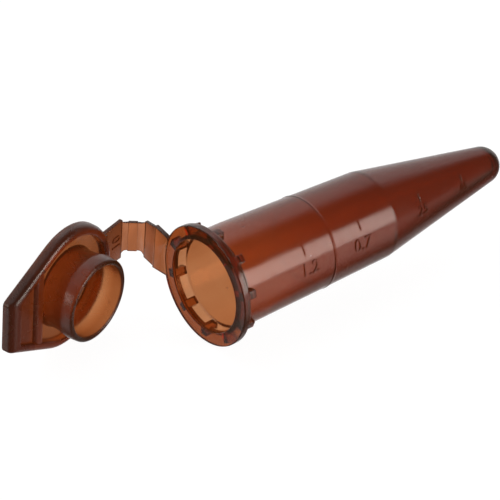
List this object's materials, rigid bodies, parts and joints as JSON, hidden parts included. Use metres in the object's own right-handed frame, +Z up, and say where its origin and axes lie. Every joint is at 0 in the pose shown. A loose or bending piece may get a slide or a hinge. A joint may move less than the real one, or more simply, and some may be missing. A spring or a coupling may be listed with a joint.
{
  "type": "microcentrifuge tube",
  "caption": "Amber flip-cap microcentrifuge tube with a conical tip, a ribbed mouth flange and a hollow plug lid on a two-fold living hinge.",
  "frame": {"origin": "centre of the mouth face, on the tube's axis", "axes": "+Y along the tube's axis from the mouth to the tip, -X along the hinge strap where it leaves the flange, +Z up with the tube lying on its side"},
  "size_m": [0.0181, 0.0601, 0.0134],
  "materials": {
    "amber_body": "translucent amber polypropylene, glossy, as moulded",
    "amber_lid": "translucent amber polypropylene, glossy, thicker section",
    "amber_strap": "translucent amber polypropylene, thin section, satin",
    "amber_web": "translucent amber polypropylene, thinnest section at the folds"
  },
  "bodies": {
    "tube": {"tube_barrel": "amber_body", "tube_cone": "amber_body", "mouth_flange": "amber_body", "flange_ribs": "amber_body", "graduation_ticks": "amber_body", "level_ring": "amber_body", "strap_root": "amber_strap"},
    "link": {"tube_hinge_web": "amber_web", "strap_link": "amber_strap", "lid_hinge_web": "amber_web"},
    "lid": {"strap_lug": "amber_strap", "lid_plate": "amber_lid", "lid_rim": "amber_lid", "lid_cross_wall": "amber_lid", "lid_tab_pad": "amber_lid", "lid_plug": "amber_lid", "plug_seal_bead": "amber_lid"}
  },
  "joints": [
    {"name": "tube_fold", "type": "hinge", "parent": "tube", "child": "link", "pos_m": [-0.01034, 0.0003, 0], "axis": [0, 0, 1], "range_deg": [-52.5, 37.5], "deforming": ["tube_hinge_web"]},
    {"name": "lid_fold", "type": "hinge", "parent": "link", "child": "lid", "pos_m": [-0.01156, -0.00129, 0], "axis": [0, 0, 1], "range_deg": [-52.5, 37.5], "deforming": ["lid_hinge_web"]}
  ],
  "couplings": [
    {"joint": "lid_fold", "follows": "tube_fold", "ratio": 1}
  ]
}
